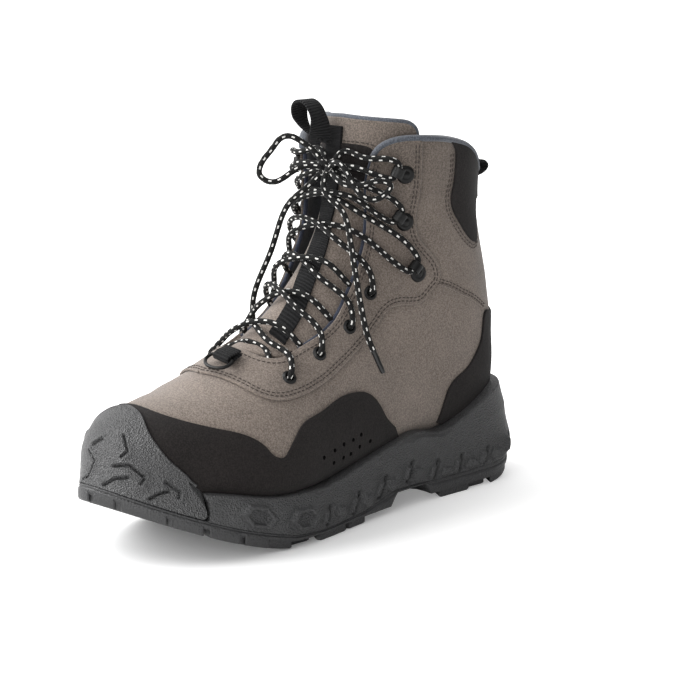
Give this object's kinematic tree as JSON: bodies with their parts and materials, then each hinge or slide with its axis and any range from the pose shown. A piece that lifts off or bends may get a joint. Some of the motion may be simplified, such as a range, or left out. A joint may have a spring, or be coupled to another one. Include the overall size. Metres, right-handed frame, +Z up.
{
  "type": "wading boot",
  "caption": "Left lace-up ankle boot: hollow fabric upper with dark overlays, rubber toe cap, lugged rubber sole, padded tongue, eyelets, hooks, pull loops and a tied lace.",
  "frame": {"origin": "on the floor plane at the centre of the heel's middle tread lug", "axes": "+Z up, +Y towards the heel so that the toe points along -Y, +X towards the outer (lateral) side of this left boot"},
  "size_m": [0.1094, 0.3041, 0.2411],
  "materials": {
    "outsole_rubber": "matt charcoal rubber",
    "midsole_rubber": "matt charcoal moulded foam rubber",
    "toe_rubber": "grained charcoal rubber",
    "upper_fabric": "matt taupe coated textile",
    "lining": "grey brushed lining",
    "tongue_fabric": "dark padded textile",
    "overlay": "black napped synthetic leather",
    "webbing": "ribbed black webbing",
    "hardware": "black coated metal",
    "lace": "round black cord with pale flecks",
    "lace_tip": "black plastic"
  },
  "bodies": {
    "root": {"outsole": "outsole_rubber", "midsole": "midsole_rubber", "toe_cap": "toe_rubber", "upper": "upper_fabric", "insole": "lining", "tongue": "tongue_fabric", "toe_rand": "overlay", "eyestay": "overlay", "heel_counter": "overlay", "collar_panel": "overlay", "tongue_strip": "webbing", "tongue_pull_loop": "webbing", "heel_pull_loop": "webbing", "ring_tab": "webbing", "d_ring": "hardware", "eyelet_lateral_1": "hardware", "eyelet_lateral_2": "hardware", "eyelet_lateral_3": "hardware", "eyelet_lateral_4": "hardware", "eyelet_medial_1": "hardware", "eyelet_medial_2": "hardware", "eyelet_medial_3": "hardware", "eyelet_medial_4": "hardware", "hook_lateral_1": "hardware", "hook_lateral_2": "hardware", "hook_lateral_3": "hardware", "hook_medial_1": "hardware", "hook_medial_2": "hardware", "hook_medial_3": "hardware", "lace_crossings": "lace", "lace_knot": "lace", "lace_loop_medial": "lace", "lace_loop_lateral": "lace", "lace_end_medial": "lace", "lace_end_lateral": "lace", "aglet_medial": "lace_tip", "aglet_lateral": "lace_tip"}
  },
  "joints": []
}
